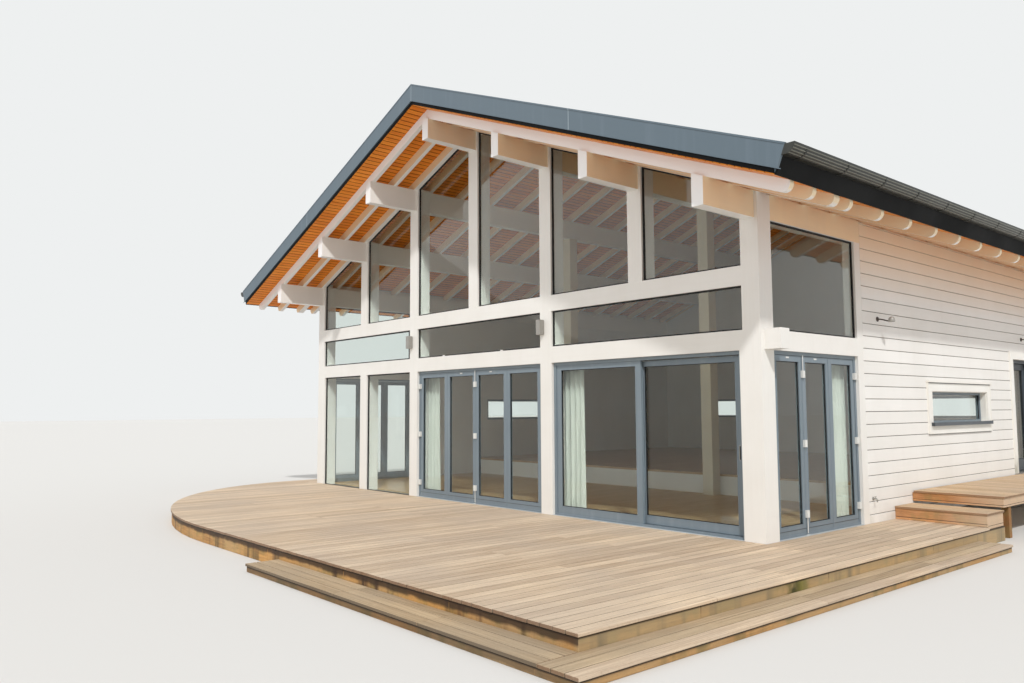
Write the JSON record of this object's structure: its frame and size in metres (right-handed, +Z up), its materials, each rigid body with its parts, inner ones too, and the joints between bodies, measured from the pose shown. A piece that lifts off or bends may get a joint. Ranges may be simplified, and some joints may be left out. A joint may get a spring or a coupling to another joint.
{
  "type": "timber beach house with a deck",
  "caption": "White timber house with a glazed post-and-beam gable, clad walls, a low wide roof, folding and sliding glass doors and a curved timber deck.",
  "frame": {"origin": "on the ground at the underside of the foundation, in the middle of the house's width, in the plane of the outer face of the front posts", "axes": "+X to the right seen from the front, +Y from the front to the back, +Z up"},
  "size_m": [13.9205, 17.995, 7.097],
  "materials": {
    "concrete": "cast concrete",
    "floor_boards": "oiled boards",
    "white_timber": "white paint on timber",
    "varnished_pine": "varnished pine boards",
    "roof_metal": "blue-grey coated sheet",
    "dark_metal": "dark grey coated sheet",
    "glazing_bead": "dark glazing seal",
    "grey_aluminium": "blue-grey coated aluminium",
    "entrance_paint": "dark grey paint",
    "hinge_paint": "white coated metal",
    "clear_glass": "clear",
    "white_cladding": "white painted boards",
    "deck_boards": "weathered boards",
    "deck_skirt": "sawn timber",
    "lamp_metal": "grey coated metal"
  },
  "bodies": {
    "house": {"ceiling_boards": "varnished_pine", "deck_frames": "deck_skirt", "deck_steps": "deck_boards", "downpipes": "dark_metal", "eaves_boards": "dark_metal", "eaves_closing_boards": "white_timber", "entrance_frame": "entrance_paint", "entrance_trim": "white_timber", "fixed_door_leaf": "grey_aluminium", "folding_door_frames": "grey_aluminium", "folding_door_hinges": "hinge_paint", "folding_door_leaves": "grey_aluminium", "foundation": "concrete", "gable_studs": "white_timber", "garden_tap": "lamp_metal", "gutters": "dark_metal", "interior_posts": "white_timber", "left_wall": "white_cladding", "living_floor": "floor_boards", "main_deck": "deck_boards", "main_posts": "white_timber", "purlins": "white_timber", "rafters": "white_timber", "raised_floor": "floor_boards", "rear_wall": "white_cladding", "ribbon_window_frames": "grey_aluminium", "ribbon_window_sills": "grey_aluminium", "ribbon_window_trim": "white_timber", "ridge_cap": "roof_metal", "right_wall_door_bay": "white_cladding", "right_wall_front": "white_cladding", "right_wall_rear": "white_cladding", "roof_left": "roof_metal", "roof_right": "roof_metal", "side_deck": "deck_boards", "sliding_door_frame": "grey_aluminium", "transoms": "white_timber", "verge_fascia": "roof_metal", "wall_lamps": "lamp_metal", "window_beads": "glazing_bead", "window_panes": "clear_glass"},
    "sliding_leaf": {"sliding_leaf": "grey_aluminium", "sliding_leaf_glass": "clear_glass"},
    "entrance_leaf": {"entrance_door": "entrance_paint", "entrance_door_glass": "clear_glass"}
  },
  "joints": [
    {"name": "sliding_door", "type": "slide", "parent": "house", "child": "sliding_leaf", "axis": [-1, 0, 0], "range_m": [0, 1.45]},
    {"name": "entrance_hinge", "type": "hinge", "parent": "house", "child": "entrance_leaf", "pos_m": [5.338, 9.136, 1.6], "axis": [0, 0, -1], "range_deg": [0, 95]}
  ]
}
